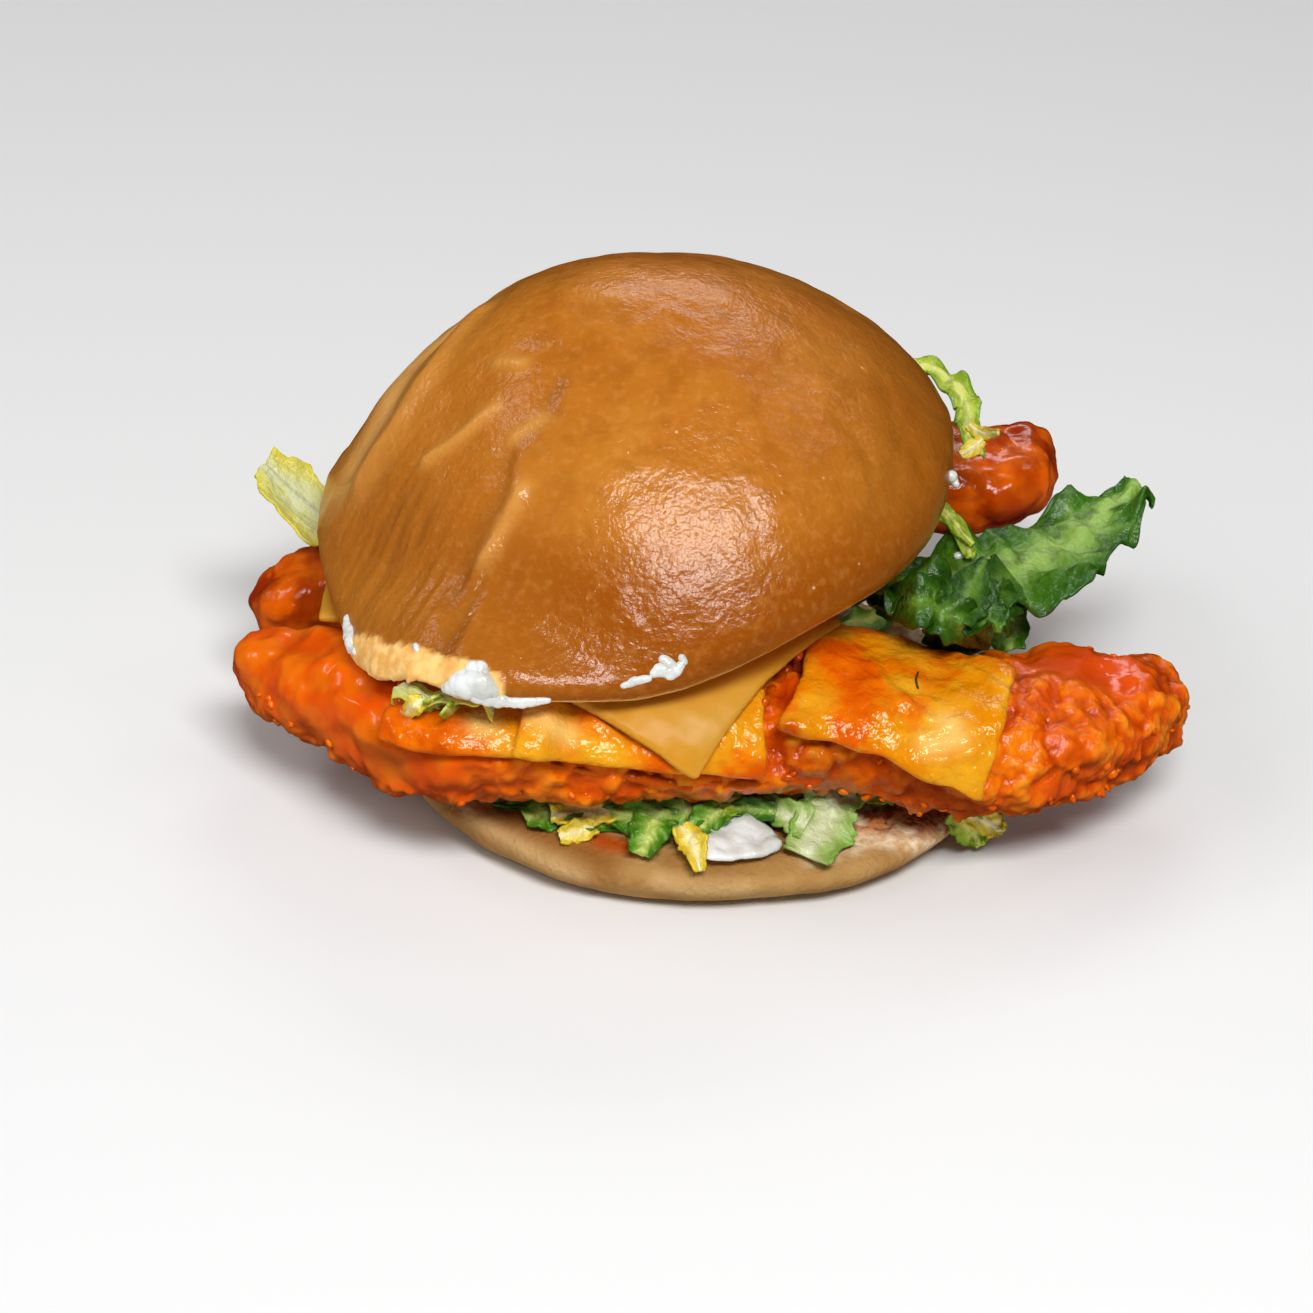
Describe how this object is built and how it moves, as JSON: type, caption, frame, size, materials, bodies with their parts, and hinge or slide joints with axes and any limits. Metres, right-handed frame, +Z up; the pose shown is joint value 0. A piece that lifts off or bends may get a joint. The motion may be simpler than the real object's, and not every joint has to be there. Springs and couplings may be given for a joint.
{
  "type": "chicken burger",
  "caption": "Burger with a glazed bun top, sauced fried chicken tenders that stick out on both sides, draped cheese slices, lettuce and mayonnaise.",
  "frame": {"origin": "centre of the flat face that the bun heel rests on", "axes": "+Z up, +X along the front tender, -Y towards the front where the cheese and lettuce hang out"},
  "size_m": [0.1715, 0.1359, 0.0884],
  "materials": {
    "bun_glaze": "egg-glazed crust, satin to glossy",
    "bun_crumb": "soft pale bread, toasted brown where it was cut",
    "sauced_breading": "craggy fried breading coated in wet orange-red hot sauce",
    "sauced_cheese": "melted processed cheese with a film of hot sauce",
    "cheese": "smooth pale yellow processed cheese",
    "romaine": "crinkled green leaf, waxy",
    "pale_lettuce": "pale yellow-green leaf and rib, waxy",
    "mayonnaise": "thick white sauce, wet"
  },
  "bodies": {
    "root": {"bun_heel": "bun_crumb", "lettuce_bed": "romaine", "mayo_heel": "mayonnaise", "chicken_front": "sauced_breading", "chicken_back": "sauced_breading", "cheese_back": "cheese", "cheese_left": "sauced_cheese", "cheese_middle": "sauced_cheese", "cheese_right": "sauced_cheese", "cheese_clean": "cheese", "lettuce_leaf_right": "romaine", "lettuce_leaf_inner": "romaine", "lettuce_leaf_left": "pale_lettuce", "lettuce_shred_back": "pale_lettuce", "lettuce_shred_right": "pale_lettuce", "lettuce_bits_front": "pale_lettuce", "mayo_crown": "mayonnaise", "bun_crown": "bun_glaze"}
  },
  "joints": []
}
